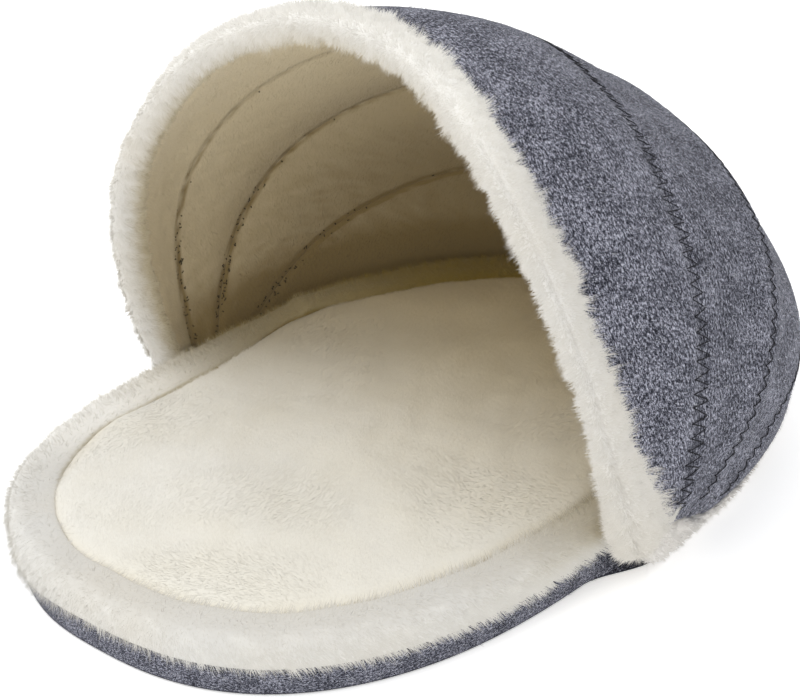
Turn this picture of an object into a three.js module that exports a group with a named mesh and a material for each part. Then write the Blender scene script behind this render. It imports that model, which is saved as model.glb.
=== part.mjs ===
// Shoe-shaped cat house: an oval sole with a plush rim and a cushion, under a hood of four felt gores
// that fan out from its two front corners like the hood of a pram. Millimetres, +Z up, open toe towards -Y.
import * as THREE from 'three';

// Clearance between pieces that touch
const GAP = 0.3;

// Oval outline of the sole, measured from the line between the hood's feet
const OUTLINE = { half: 154, front: 238, back: 245, power: 2.6 };

// Felt sole: how far each level stands out from the outline
const SOLE_LEVELS = [
  { grow: -5, z: 0 },
  { grow: -1.6, z: 1.4 },
  { grow: 0, z: 5 },
  { grow: 0, z: 10 },
  { grow: -1.6, z: 12.6 },
];
const SOLE_TOP = 12.6;

// Plush roll along the rim of the sole: at the heel, inside the hood, it is wider and stands out less
const RIM = { proud: 3, heelProud: 0.6, toeWidth: 20, heelWidth: 36, top: 35, power: 2.5 };

// Cushion: how far each level lies inside the groove between cushion and rim
const CUSHION_LEVELS = [
  { inset: 7, z: SOLE_TOP + GAP },
  { inset: 1.5, z: 16.5 },
  { inset: 0.2, z: 23 },
  { inset: 2.5, z: 28.5 },
  { inset: 9, z: 33 },
  { inset: 24, z: 37 },
  { inset: 56, z: 39.6 },
];
const CUSHION_CROWN = 40.6;

// Hood sheet: felt outside, plush lining inside
const FELT = 3;
const LINING = 5.2;
const SANDWICH = FELT + GAP + LINING;

// Arches of the hood on its outer face: the mouth and the three seams, front to back.
// foot is the end on the +X side, crown the [y, z] of the top, belly and bow swell the flanks in x and y,
// and flat widens the shoulders beside the crown. FLANK_GAIN brings the peak of the flank curve to one.
const ARCHES = [
  { foot: [178, -17, 23], crown: [-39, 276], belly: 6, bow: -26, flat: 0 },
  { foot: [177, 7, 17], crown: [86, 240], belly: 30, bow: -31, flat: 0.18 },
  { foot: [171, 22, 17], crown: [169, 190], belly: 36, bow: -13, flat: 0.14 },
  { foot: [166, 40, 17], crown: [236, 110], belly: 26, bow: 6, flat: 0 },
];
const FLANK_GAIN = 2.6;
const SHOULDER_POWER = 4;

// Egg that the hood is close to
const HOOD_EGG = { centre: [0, -80, 20], size: [190, 337, 255] };

// Hem of the last gore round the heel, with a little ease, and how far it splays near the front corners
const HEM_EASE = 0.4;
const HEM = { grow: RIM.proud + GAP + SANDWICH + HEM_EASE, z: 17, start: 52, splay: 9, splayLength: 60 };

// How far each gore puffs out between its seams, fading out towards its feet
const GORE_PUFF = [2, 1, 1, 1];
const PUFF_FADE = 4;

// Plush roll round the mouth, narrower close to its feet and thicker at its crown
const TRIM = { reach: 15.5, footReach: 13, footPower: 10, thick: 8.6, crownThick: 10.4, end: 5 };

// Flat plush binding under the hem
const BINDING = { halfWidth: 7.4, low: 3, high: HEM.z - 2 * GAP, start: -6, power: 3, end: 3 };

// Mesh steps
const STEPS = { round: 56, rim: 12, arch: 36, gore: 4, tubeSides: 12 };

// Shrinking rings that round off the end of a tube, and the step that finds a tube's direction
const END_RINGS = [0.9, 0.62, 0.25];
const TANGENT_STEP = 0.01;

// Search for the edge of the first gore: samples on each half of the roll, how far the roll's line
// runs on past its feet, the furthest edge and the halvings
const SEARCH = { samples: 65, past: 1.04, far: 0.95, halvings: 24 };

const feltMaterial = new THREE.MeshStandardMaterial({ color: 0x6d7480, roughness: 0.95, metalness: 0 });
const plushMaterial = new THREE.MeshStandardMaterial({ color: 0xe6e1d4, roughness: 1, metalness: 0 });
const furMaterial = new THREE.MeshStandardMaterial({ color: 0xeeeae0, roughness: 1, metalness: 0 });

const part = new THREE.Group();

function signedPower(value, exponent) {
  return Math.sign(value) * Math.abs(value) ** exponent;
}

// Point of the oval at an angle, grown outwards by so much
function ovalPoint(angle, grow, z) {
  const exponent = 2 / OUTLINE.power;
  const reach = Math.sin(angle) < 0 ? OUTLINE.front : OUTLINE.back;
  const x = (OUTLINE.half + grow) * signedPower(Math.cos(angle), exponent);
  const y = (reach + grow) * signedPower(Math.sin(angle), exponent);
  return new THREE.Vector3(x, y, z);
}

// Angle at which the grown oval passes a given y behind the feet
function ovalAngle(y, grow) {
  const reach = y < 0 ? OUTLINE.front : OUTLINE.back;
  return Math.asin(signedPower(y / (reach + grow), OUTLINE.power / 2));
}

// Closed body through rings of equal length; the ends are fanned to their centres, or joined as a torus
function loft(rings, joined) {
  const count = rings[0].length;
  const points = rings.flat();
  const faces = [];
  const last = joined ? rings.length : rings.length - 1;
  for (let i = 0; i < last; i += 1) {
    for (let j = 0; j < count; j += 1) {
      const a = i * count + j;
      const b = i * count + ((j + 1) % count);
      const c = ((i + 1) % rings.length) * count + j;
      const d = ((i + 1) % rings.length) * count + ((j + 1) % count);
      faces.push([a, b, d], [a, d, c]);
    }
  }
  if (!joined) {
    const low = fanCentre(rings[0]);
    const high = fanCentre(rings[rings.length - 1]);
    points.push(low, high);
    const top = (rings.length - 1) * count;
    for (let j = 0; j < count; j += 1) {
      const next = (j + 1) % count;
      faces.push([points.length - 2, next, j], [points.length - 1, top + j, top + next]);
    }
  }
  return closedGeometry(points, faces);
}

function fanCentre(ring) {
  const centre = new THREE.Vector3();
  ring.forEach((point) => centre.add(point));
  return centre.divideScalar(ring.length);
}

function closedGeometry(points, faces) {
  const geometry = new THREE.BufferGeometry();
  geometry.setAttribute('position', new THREE.Float32BufferAttribute(points.flatMap((p) => p.toArray()), 3));
  geometry.setIndex(faces.flat());
  geometry.computeVertexNormals();
  return geometry;
}

function addPiece(name, geometry, material) {
  const mesh = new THREE.Mesh(geometry, material);
  mesh.name = name;
  part.add(mesh);
}

function ringAngles() {
  return Array.from({ length: STEPS.round }, (_, i) => (i / STEPS.round) * 2 * Math.PI);
}

// Width of the rim roll inside the outline, and how far it stands out past it
function rimWidth(angle) {
  const heel = Math.max(0, Math.sin(angle));
  return THREE.MathUtils.lerp(RIM.toeWidth, RIM.heelWidth, heel ** 2);
}

function rimProud(angle) {
  const heel = Math.max(0, Math.sin(angle));
  return THREE.MathUtils.lerp(RIM.proud, RIM.heelProud, heel);
}

function soleGeometry() {
  const rings = SOLE_LEVELS.map(({ grow, z }) => ringAngles().map((angle) => ovalPoint(angle, grow, z)));
  return loft(rings, false);
}

function cushionGeometry() {
  const rings = CUSHION_LEVELS.map(({ inset, z }) =>
    ringAngles().map((angle) => ovalPoint(angle, -rimWidth(angle) - inset, z)));
  const geometry = loft(rings, false);
  const crown = geometry.attributes.position.count - 1;
  geometry.attributes.position.setZ(crown, CUSHION_CROWN);
  return geometry;
}

// The roll's section is a rounded block, from the groove beside the cushion to just past the outline
function rimGeometry() {
  const low = SOLE_TOP + GAP;
  const middle = (low + RIM.top) / 2;
  const halfHeight = (RIM.top - low) / 2;
  const rings = ringAngles().map((angle) => {
    const proud = rimProud(angle);
    const halfWidth = (proud + rimWidth(angle) - GAP) / 2;
    const centre = proud - halfWidth;
    return Array.from({ length: STEPS.rim }, (_, j) => {
      const turn = (-j / STEPS.rim) * 2 * Math.PI;
      const grow = centre + halfWidth * signedPower(Math.cos(turn), 2 / RIM.power);
      const z = middle + halfHeight * signedPower(Math.sin(turn), 2 / RIM.power);
      return ovalPoint(angle, grow, z);
    });
  });
  return loft(rings, true);
}

// Point of one arch: u runs from -1 at the -X foot over 0 at the crown to 1 at the +X foot
function archPoint(arch, u) {
  const turn = (1 - Math.abs(u)) * Math.PI / 2;
  const [footX, footY, footZ] = arch.foot;
  const [crownY, crownZ] = arch.crown;
  const flank = FLANK_GAIN * Math.sin(turn) * Math.cos(turn) ** 2;
  const shoulder = 1 + arch.flat * Math.sin(turn) ** SHOULDER_POWER;
  const x = footX * Math.cos(turn) * shoulder + arch.belly * flank;
  const y = footY + (crownY - footY) * Math.sin(turn) + arch.bow * flank;
  const z = footZ + (crownZ - footZ) * Math.sin(turn);
  return new THREE.Vector3(Math.sign(u) * x, y, z);
}

// How far the hem stands out from the outline at a given y
function hemGrow(y) {
  const nearFront = THREE.MathUtils.clamp(1 - y / HEM.splayLength, 0, 1);
  return HEM.grow + HEM.splay * nearFront ** 2;
}

function hemPoint(u) {
  const start = ovalAngle(HEM.start, HEM.grow);
  const angle = start + (Math.PI / 2 - start) * (1 - Math.abs(u));
  const point = ovalPoint(angle, HEM.grow, HEM.z);
  point.x *= Math.sign(u);
  return point;
}

// Smooth outer face of the hood: w is 0 at the mouth, 1 to 3 at the seams and 4 at the hem
function hoodPoint(u, w) {
  const line = ARCHES.map((arch) => archPoint(arch, u));
  line.push(hemPoint(u));
  return new THREE.CatmullRomCurve3(line, false, 'centripetal').getPoint(w / ARCHES.length);
}

// Direction in which the sheet has its thickness: square to the egg that the hood is close to
function outward(point) {
  const [x, y, z] = HOOD_EGG.centre;
  const [sizeX, sizeY, sizeZ] = HOOD_EGG.size;
  const awayX = (point.x - x) / sizeX ** 2;
  const awayY = (point.y - y) / sizeY ** 2;
  const awayZ = (point.z - z) / sizeZ ** 2;
  return new THREE.Vector3(awayX, awayY, awayZ).normalize();
}

// Point of the hood sheet at a depth under its outer face, puffed out between the seams of its gore
function sheetPoint(u, w, gore, depth) {
  const puff = GORE_PUFF[gore] * Math.sin((w - gore) * Math.PI) * (1 - u ** PUFF_FADE);
  const point = hoodPoint(u, w);
  return point.addScaledVector(outward(point), puff - depth);
}

// Middle line of the mouth roll, halfway through the hood sheet
function trimPoint(u) {
  return sheetPoint(u, 0, 0, SANDWICH / 2);
}

// Half width of the mouth roll along the sheet, and half its thickness across the sheet
function trimReach(u) {
  return THREE.MathUtils.lerp(TRIM.reach, TRIM.footReach, u ** TRIM.footPower);
}

function trimThickness(u) {
  return THREE.MathUtils.lerp(TRIM.thick, TRIM.crownThick, (1 - u ** 2) ** 2);
}

// Middle line of the roll in close steps, run on a little past both feet
const TRIM_LINE = Array.from({ length: 2 * SEARCH.samples + 1 }, (_, i) => {
  const u = (i / SEARCH.samples - 1) * SEARCH.past;
  return { point: trimPoint(u), reach: trimReach(u) };
});

function trimDistance(place) {
  return Math.min(...TRIM_LINE.map(({ point, reach }) => point.distanceTo(place) - reach));
}

// Where the first gore starts behind the mouth roll, clear of it through the whole thickness of the sheet
function mouthEdge(u) {
  let near = 0;
  let far = SEARCH.far;
  for (let i = 0; i < SEARCH.halvings; i += 1) {
    const w = (near + far) / 2;
    const column = [0, SANDWICH / 2, SANDWICH].map((depth) => sheetPoint(u, w, 0, depth));
    if (Math.min(...column.map(trimDistance)) < 2 * GAP) near = w;
    else far = w;
  }
  return far;
}

// Edges of a gore at u, half a gap short of its seams
function goreEdges(gore, u) {
  const width = hoodPoint(u, gore).distanceTo(hoodPoint(u, gore + 1));
  const short = GAP / 2 / width;
  const from = gore === 0 ? mouthEdge(u) : gore + short;
  const to = gore === ARCHES.length - 1 ? ARCHES.length : gore + 1 - short;
  return [from, to];
}

// One gore as a closed sheet between two depths
function goreGeometry(gore, outer, inner) {
  const rings = [];
  for (let i = 0; i <= STEPS.arch; i += 1) {
    const u = 1 - (i / STEPS.arch) * 2;
    const [from, to] = goreEdges(gore, u);
    const places = Array.from({ length: STEPS.gore + 1 }, (_, j) => from + ((to - from) * j) / STEPS.gore);
    const face = places.map((w) => sheetPoint(u, w, gore, outer));
    const back = places.map((w) => sheetPoint(u, w, gore, inner)).reverse();
    rings.push([...face, ...back]);
  }
  return sheetLoft(rings, STEPS.gore + 1);
}

// Closes a row of flat rings whose first half is the face and second half the back, both split the same way
function sheetLoft(rings, half) {
  const count = half * 2;
  const points = rings.flat();
  const faces = [];
  for (let i = 0; i < rings.length - 1; i += 1) {
    for (let j = 0; j < count; j += 1) {
      const a = i * count + j;
      const b = i * count + ((j + 1) % count);
      if (j < half) faces.push([a, b, b + count], [a, b + count, a + count]);
      else faces.push([a, b, a + count], [b, b + count, a + count]);
    }
  }
  const end = (rings.length - 1) * count;
  for (let j = 0; j < half - 1; j += 1) {
    const k = count - 1 - j;
    faces.push([j, k, k - 1], [j, k - 1, j + 1]);
    faces.push([end + j, end + k - 1, end + k], [end + j, end + j + 1, end + k - 1]);
  }
  return closedGeometry(points, faces);
}

// Tube with round ends along stations of { centre, tangent, up, halfUp, halfSide, power }
function tubeGeometry(stations, sides, capLength) {
  const ring = ({ centre, tangent, up, halfUp, halfSide, power }, shrink, shift) => {
    const side = new THREE.Vector3().crossVectors(tangent, up).normalize();
    return Array.from({ length: sides }, (_, j) => {
      const turn = (j / sides) * 2 * Math.PI;
      const point = centre.clone().addScaledVector(tangent, shift);
      point.addScaledVector(up, halfUp * shrink * signedPower(Math.cos(turn), 2 / power));
      return point.addScaledVector(side, halfSide * shrink * signedPower(Math.sin(turn), 2 / power));
    });
  };
  const first = stations[0];
  const last = stations[stations.length - 1];
  const rise = (shrink) => capLength * Math.sqrt(1 - shrink ** 2);
  const rings = [...END_RINGS].reverse().map((shrink) => ring(first, shrink, -rise(shrink)));
  stations.forEach((station) => rings.push(ring(station, 1, 0)));
  END_RINGS.forEach((shrink) => rings.push(ring(last, shrink, rise(shrink))));
  return loft(rings, false);
}

// Direction of a line that runs from -1 to 1
function tangentAt(linePoint, u) {
  const after = linePoint(Math.min(u + TANGENT_STEP, 1));
  const before = linePoint(Math.max(u - TANGENT_STEP, -1));
  return after.sub(before).normalize();
}

function trimGeometry() {
  const stations = [];
  for (let i = 0; i <= STEPS.arch; i += 1) {
    const u = (i / STEPS.arch) * 2 - 1;
    const tangent = tangentAt(trimPoint, u);
    const up = outward(hoodPoint(u, 0)).projectOnPlane(tangent).normalize();
    const halfUp = trimThickness(u);
    stations.push({ centre: trimPoint(u), tangent, up, halfUp, halfSide: trimReach(u), power: 2 });
  }
  return tubeGeometry(stations, STEPS.tubeSides, TRIM.end);
}

// Middle line of the hem binding, from the -X corner round the heel to the +X corner
function bindingPoint(s) {
  const start = ovalAngle(BINDING.start, HEM.grow);
  const angle = start + (Math.PI / 2 - start) * (1 - Math.abs(s));
  const along = ovalPoint(angle, HEM.grow, 0);
  const z = (BINDING.low + BINDING.high) / 2;
  const point = ovalPoint(angle, hemGrow(along.y) - SANDWICH / 2, z);
  point.x *= Math.sign(s);
  return point;
}

function bindingGeometry() {
  const stations = [];
  const up = new THREE.Vector3(0, 0, 1);
  const halfUp = (BINDING.high - BINDING.low) / 2;
  for (let i = 0; i <= STEPS.arch; i += 1) {
    const s = (i / STEPS.arch) * 2 - 1;
    const tangent = tangentAt(bindingPoint, s);
    const { halfWidth, power } = BINDING;
    stations.push({ centre: bindingPoint(s), tangent, up, halfUp, halfSide: halfWidth, power });
  }
  return tubeGeometry(stations, STEPS.tubeSides, BINDING.end);
}

addPiece('base_sole', soleGeometry(), feltMaterial);
addPiece('rim_bolster', rimGeometry(), furMaterial);
addPiece('cushion', cushionGeometry(), plushMaterial);
ARCHES.forEach((_, gore) => {
  addPiece(`hood_felt_${gore + 1}`, goreGeometry(gore, 0, FELT), feltMaterial);
  addPiece(`hood_lining_${gore + 1}`, goreGeometry(gore, FELT + GAP, SANDWICH), plushMaterial);
});
addPiece('mouth_trim', trimGeometry(), furMaterial);
addPiece('hem_binding', bindingGeometry(), furMaterial);

// The origin lies on the floor under the middle of the whole house
const centre = new THREE.Box3().setFromObject(part).getCenter(new THREE.Vector3());
part.position.y = -centre.y;

export default part;
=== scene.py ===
"""Looks of the shoe-shaped cat house: a felt hood lined with plush, a furred mouth, a rim and a cushion.

Sizes are in millimetres from the line between the hood's feet, as in the part. Meshes are in metres."""

import math
from types import SimpleNamespace as Group

import bpy
import numpy as np
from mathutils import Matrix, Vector


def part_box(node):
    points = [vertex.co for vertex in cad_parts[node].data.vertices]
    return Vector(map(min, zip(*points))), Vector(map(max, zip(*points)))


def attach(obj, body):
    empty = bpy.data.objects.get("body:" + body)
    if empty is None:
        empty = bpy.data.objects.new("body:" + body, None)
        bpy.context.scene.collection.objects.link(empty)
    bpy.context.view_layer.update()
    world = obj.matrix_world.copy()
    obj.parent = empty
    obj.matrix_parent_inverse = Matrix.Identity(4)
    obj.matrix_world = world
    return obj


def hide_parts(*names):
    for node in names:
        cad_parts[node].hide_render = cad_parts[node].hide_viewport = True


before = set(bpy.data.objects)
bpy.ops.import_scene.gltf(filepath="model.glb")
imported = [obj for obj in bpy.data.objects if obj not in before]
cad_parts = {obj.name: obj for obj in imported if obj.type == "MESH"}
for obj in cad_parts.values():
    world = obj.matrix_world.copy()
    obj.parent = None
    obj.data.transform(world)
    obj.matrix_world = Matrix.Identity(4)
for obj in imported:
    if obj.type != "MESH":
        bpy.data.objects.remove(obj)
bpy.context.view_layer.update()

# Shape of the part
MM = 0.001
GAP = 0.3
OUTLINE = Group(half=154, front=238, back=245, power=2.6)
SOLE = Group(top=12.6, low_round=1.6, high_round=2.6, toe_grow=1.4, toe=(0, 0.5))
SOLE_GRAIN = 1.8
# The sole flares out low down under the hood's feet, and the sole there is painted dark: painted shadow under
# the trim's feet
SOLE_FLARE = Group(reach=15, span=((-36, 10), (20, 50)), height=4, shade=0.7)
# Painted shadow along the sole's bottom edge where it meets the floor: its share and the height over which it
# fades
SOLE_PAINTED_SHADOW = Group(share=0.93, rise=(0.5, 1.7))
RIM = Group(proud=3, heel_proud=0.6, toe_width=20, heel_width=31, top=35, tuft=8)
RIM_EDGE = Group(droop=2.2, grow=1.2)

# The rim's section at the toe, then how its pile lies, how dense it grows and how long it stays
RIM_TOE = Group(section=(0.2, 0.9), edge=(-0.1, 0.3), side=(0.1, 0.8), under=(-0.7, 0.5), swell=8)
RIM_NAP = Group(out=0.5, tuck_out=0.4, round=(0.5, 1.5), down=0.4, hang_down=0.5)
RIM_SIDES = Group(hang=(-0.6, 0.1), over=(-0.7, -0.2), open=(-0.3, 0.4), left=(-0.2, 0.5))
RIM_WEIGHT = Group(under=(-0.8, -0.4), hang=1.6, inner=0.8, inner_side=(0.2, 0.7))
RIM_KEEP = Group(range=(0.8, 1.05), tufts=0.2, inner=0.25, inner_tufts=0.35, inner_side=(0.3, 0.8))

# Extra width of the rim round the outline, by angle: it is pinched where its two ends meet on the -X side
RIM_EXTRA = [
    (0.8, 0), (1.2, 9), (2.67, 9), (2.8, 6), (2.91, 0.5), (3, -1), (3.06, 2), (3.13, 8.5), (3.21, 11),
    (3.34, 10), (3.45, 7), (3.55, 2.5), (3.65, 0.5), (3.8, 0.5), (4, 1.5), (4.2, 2), (4.5, 0),
]
RIM_SECTION = Group(outer_power=2.6, side_power=4, toe_power=7, side_tuck=1.5, toe_tuck=3)

# Profile of the cushion: how far in from the rim, and how high
CUSHION_LEVELS = [
    (7, 12.9), (1, 17), (0, 24), (0.2, 29), (1.8, 32.8), (7, 35.3), (16, 36.8), (30, 38.2), (56, 39.6),
]
CUSHION_CROWN = 40.6
CUSHION_BODY = Group(skin=(14, 24), swell=(20, 34))
CUSHION_NAP = Group(turn=2, swing=1.2, size=150)
CUSHION_OUT = 0.002
FELT = 3
LINING = 5.2
SANDWICH = FELT + GAP + LINING

# Arches of the mouth and the seams: foot, crown in y and z, belly, bow and how flat the shoulder is
ARCHES = [
    ((178, -17, 23), (-39, 276), 6, -26, 0),
    ((177, 7, 17), (86, 240), 30, -31, 0.18),
    ((171, 22, 17), (169, 190), 36, -13, 0.14),
    ((166, 40, 17), (236, 110), 26, 6, 0),
]
GORES = len(ARCHES)
FLANK_GAIN = 2.6
SHOULDER_POWER = 4
EGG_CENTRE = np.array([0, -80, 20])
EGG_SIZE = np.array([190, 337, 255])
HEM = Group(grow=12.2, z=17, start=52, splay=9, splay_length=60)
GORE_PUFF = [4.2, -3, -2.2, 1]
SEAM_RIDGE = Group(seam=2, height=3, width=0.2)
FELT_CUT = Group(share=0.036, full=1, none=3)
HEM_DROP = Group(depth=8, start=15, end=60, height=35, out=5)
MOUTH_TUCK = Group(depth=6.5, reach=34, power=8, felt_back=0.65, lining=0.5)
PUFF_FADE = 4
# Painted shade on some felt gores, which are painted a little darker
GORE_PAINTED_SHADE = [0, 0.07, 0.03, 0]
TRIM = Group(reach=15.5, foot_reach=13, foot_power=10, thick=8.6, crown_thick=10.4, end=5)
TRIM_BACK = Group(power=2.2, inside=4, flare=0.2, foot_flare=0.25)
TRIM_FOOT = Group(back=27, front=4, bulge=4.5, start=0.74, end=0.982, left=0.15)
TRIM_SLIM = Group(front=5, back=0.5, span=((0.02, 0.3), (0.7, 0.85)))
LEFT_LEAN = Group(reach=4.5, start=0.25, fade=1.2)
TRIM_RIDGE = Group(turn=0.8, dent=1.4, width=0.16, rise=(0.2, 0.45), parting=0.25)
RIM_JOINT = Group(angle=2.95, step=2.6, fade=0.4)
TOE_TUCK = Group(angle=4.3, width=0.27, depth=6, rim_depth=3, droop=8.5)
RIM_LEFT = Group(span=((2.4, 2.9), (4.2, 4.6)), keep=0.75, upright=0.75, grow=1.2)
# Painted light on the rim's -X side in the pale tone, with random streaks of it on the outer side
RIM_PALE = Group(span=((3.05, 3.3), (3.5, 4)), streaks=0.2, size=7, side=(0, 0.7))
# Painted shade in the crease between rim and cushion, on the rim's inner side; darker on the span below,
# which is partly brownish dirt
CREASE = Group(rim=0.45, cushion=0.22, dark=0.9, side=(0.5, 0.9))
CREASE_SPAN = ((1.6, 1.7), (3.35, 3.45))
BINDING = Group(half_width=7.4, low=3, high=16.4, start=-3, power=3, end=6)
BINDING_FRONT = Group(rise=3, rise_fall=(5, 25), lift=8, lift_fall=(10, 42), slim=5)
BINDING_OUT = Group(reach=4.5, span=((-15, 15), (70, 150)))
BINDING_PILE = Group(droop=0.2, under=(-0.9, -0.5), inner=(0, 0.4))
TUBE = Group(flare_span=0.5, cap_start=0.12, cap_steps=7)
SHIFT = np.array([0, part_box("base_sole")[0].y / MM + OUTLINE.front, 0])

# How deep the backing of each soft piece lies under the tips of its pile
SKIN_DEPTH = Group(trim=2.6, rim=2.6, cushion=1.2, lining=1.4, binding=2.2)

# Seams: depth and half width of the dent beside them, and the zigzag thread
DENT = Group(depth=1.1, reach=5)
UNDER_TRIM = 12
FLOOR_ROOM = 0.3
NO_SEAM = 9
GORE_CLOTH = 400
ZIGZAG = Group(half_widths=[7.6, 3.8, 3.8], step=3.95, radius=0.33, lift=0.16, sunk=0.2)
STITCH_ARCH = ((0, -1), (0.25, 1), (0.75, 1), (1, -1))
ZIGZAG_LINE = Group(end=0.957, samples=1200, uneven=0.2, swing=(0.8, 1.12), depth=0.2)
ZIGZAG_CROWN = Group(gain=1.4, range=(0.25, 0.6))
# The lining's pressed groove: its depth and reach, the bare stretch and shorter pile beside the seam, and its
# painted shade
GROOVE = Group(depth=0.5, reach=3.4, bare=(2, 4.5), keep=0.6, shade=0.6)
FLECKS = Group(shares=[0.6, 1, 0.85], step=1.1, half_width=2.3, spread=0.7)
FLECKS_SHOWN = Group(least=0.02, range=(0.55, 1), end=0.995, samples=200)
FLECK_THREAD = Group(length=1.6, uneven=(0.5, 1.3), radius=0.4, depth=0.3)
STRAY_TUFT = Group(root=(183.2, -1.4, 34.8), tip=(186.4, 1.6, 44.5))
STRAY_STRANDS = Group(count=50, spread=0.55, width=0.65, length=(0.6, 1.05))

# Unevenness of the sewn shapes: height and size of the swells
NOISE_RANGE = (0.6, 1.5)
SWELL = Group(hood=(0.8, 95), trim=(0.6, 26), rim=(0.6, 34), cushion=(0.8, 90), fine=(0.3, 26))

# Pile by kind. spread is at random, lock and pull are the size and pull of the locks, and light is how far
# the light on a strand follows the cloth under it rather than its own two faces
PILE_COLUMNS = ("count", "length", "width", "lean", "spread", "lock", "pull", "light")
PILES = {
    "trim": (95000, 6.6, 0.32, 0.95, 0.4, 7, 0.5, 0.8),
    "rim": (90000, 6.8, 0.32, 1.4, 0.38, 6, 0.4, 0.8),
    "cushion": (98000, 2.6, 0.34, 4, 0.4, 26, 0.25, 2.5),
    "lining": (13000, 3, 0.42, 2, 0.4, 20, 0.4, 1.5),
    "binding": (20000, 3.6, 0.42, 0.8, 0.4, 8, 0.4, 0.8),
    "felt": (4000, 4, 0.2, 6, 1.6, 30, 1, 1),
    "sole": (3000, 4, 0.2, 6, 1.6, 30, 1, 1),
}
LENGTH_RANGE = (0.6, 1.1)
RUFFLE = 0.12

# Turns round the trim's section, from outward over the mouth's side to the back, where its tones and its bare
# stretch start and end; a pair is on the right and on the left, or on the arms and at the crown
# Painted shade of the cabin on the trim's inner side: the turns where it starts, is full, fades and ends
TRIM_CABIN = Group(start=(2.2, 1.3), full=(3.2, 3.5), fade=(4.9, 4.2), end=(5.2, 4.5))
TRIM_LEFT = (-0.2, 0.2)
TRIM_BARE = Group(rise=(3.7, 4.1), fade=(5.25, 4.4), end=(5.45, 4.7))
TRIM_BEHIND = Group(span=((4.1, 4.4), (5.3, 5.7)), lean=0.6, crown=(0.4, 0.6))
TRIM_INNER = Group(span=((2.4, 3.1), (4.6, 4.9)), keep=0.5)
# On the open outer side of the left arm and the crown, the pile stands upright and takes painted light in the
# pale tone, less at the crown
TRIM_OPEN = Group(rise=(0, 0.6), fall=(0.2, 0.5), upright=0.7, crown_pale=0.7, crown=0.35)
TRIM_NAP = Group(down=0.3, fringe_back=(0.2, 0.9), fringe_outer=(-0.2, 0.2))
TRIM_KEEP = Group(plain=0.9, fringe=(1.3, 2.4), right=(0.4, 0.75), tufts=0.3, size=10)
TRIM_OUTER = Group(keep=(0.8, 0.45), start=(0.3, 0), full=(0.9, 0.7), left=(0.3, 0.5))

# How deep the painted shade of the cabin is: on the rim and the cushion from the toe to the heel, and on the
# lining
RIM_CABIN = Group(share=0.7, range=(-110, 60), heel=0.3, heel_range=(40, 180))
# Painted shade in the crack between the rim's outer side and the hood, and less painted shade low on the
# rim's outer side toward the front
RIM_CRACK = Group(share=0.5, side=(0.2, 0.9), range=(-40, 0))
RIM_FEET = Group(side=(0.3, 0.7), under=(-0.4, 0.1), fall=(40, 80))
CUSHION_CABIN = Group(share=0.9, range=(-90, 190), crease=(31, 34.5))
LINING_CABIN = Group(share=0.84, range=(0.15, 0.85), inward=0.55, downward=0.45, start=-60)
LINING_SPAN = Group(inward=300, downward=270)
# Painted shade on the lining by the floor, painted light beside the mouth, painted shade along the seam
# lines, and a random brushed tone
LINING_FLOOR = Group(share=0.5, height=(28, 62), range=(-40, 20))
LINING_LIGHT = Group(share=0.35, reach=55, left=(0, 0.4))
LINING_LINE = Group(low=(0.15, 0.8), crown=0.3, rough=0.5, size=6)
LINING_BRUSH = Group(share=0.06, size=8)
LINING_NAP = 0.5

# Mesh steps
STEPS = Group(round=260, section=40, arch=126, gore=8, trim=220, level=4, crown=26)
SEAM_STEPS = np.array([0, 0.9, 1.8, 2.6, 3.3, 4.3, 6.5])
SEAM_ROOM = 30

# Camera at the photograph's angle
CAMERA = Group(azimuth=40.01, elevation=26.84, distance=1231.2, target=(2.13, -3.97, 77))
FOCAL_PX = 2222.9
IMAGE_WIDTH = 800
SENSOR = 36
FLOOR_SIZE = 30

# Lights of a soft studio: name, place, target, size and power
LIGHTS = [
    ("overhead", (-0.7, -0.55, 2), (0, 0, 0.1), 1.3, 13.5),
    ("front_fill", (1.7, -2, 1), (0, 0, 0.1), 1.8, 12),
    ("crest", (0.5, 0.9, 2.2), (0, 0, 0.2), 1.3, 6),
    ("left_fill", (-2.2, -1.4, 1.1), (0, 0, 0.1), 1.8, 10),
]
WORLD_STRENGTH = 0.83
FLOOR_GLOW = 0.3


# Numbers and curves

def signed_power(value, exponent):
    return np.sign(value) * np.abs(value) ** exponent


def unit(vectors):
    return vectors / np.maximum(np.linalg.norm(vectors, axis=-1, keepdims=True), 1e-9)


def lerp(low, high, share):
    return low + (high - low) * share


def smooth(value, low, high):
    """0 below low, 1 above high, and a soft step between."""
    share = np.clip((value - low) / (high - low), 0, 1)
    return share * share * (3 - 2 * share)


def band(value, rise, fall):
    """1 between two ranges and 0 outside them, with a soft step over each."""
    return smooth(value, *rise) * (1 - smooth(value, *fall))


def running_length(points, axis):
    """Length along each line of points, from its first one."""
    first = np.take(points, [0], axis)
    return np.cumsum(np.linalg.norm(np.diff(points, axis=axis, prepend=first), axis=-1), axis=axis)


def soft_noise(points, size, seed, waves=16):
    """Smooth noise between about -1 and 1 that changes over about that size."""
    rng = np.random.default_rng(seed)
    axes = unit(rng.normal(size=(waves, 3))) * rng.uniform(*NOISE_RANGE, (waves, 1)) * 2 * np.pi / size
    phase = rng.uniform(0, 2 * np.pi, waves)
    return np.sin(points @ axes.T + phase).sum(-1) * math.sqrt(1 / waves)


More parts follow.
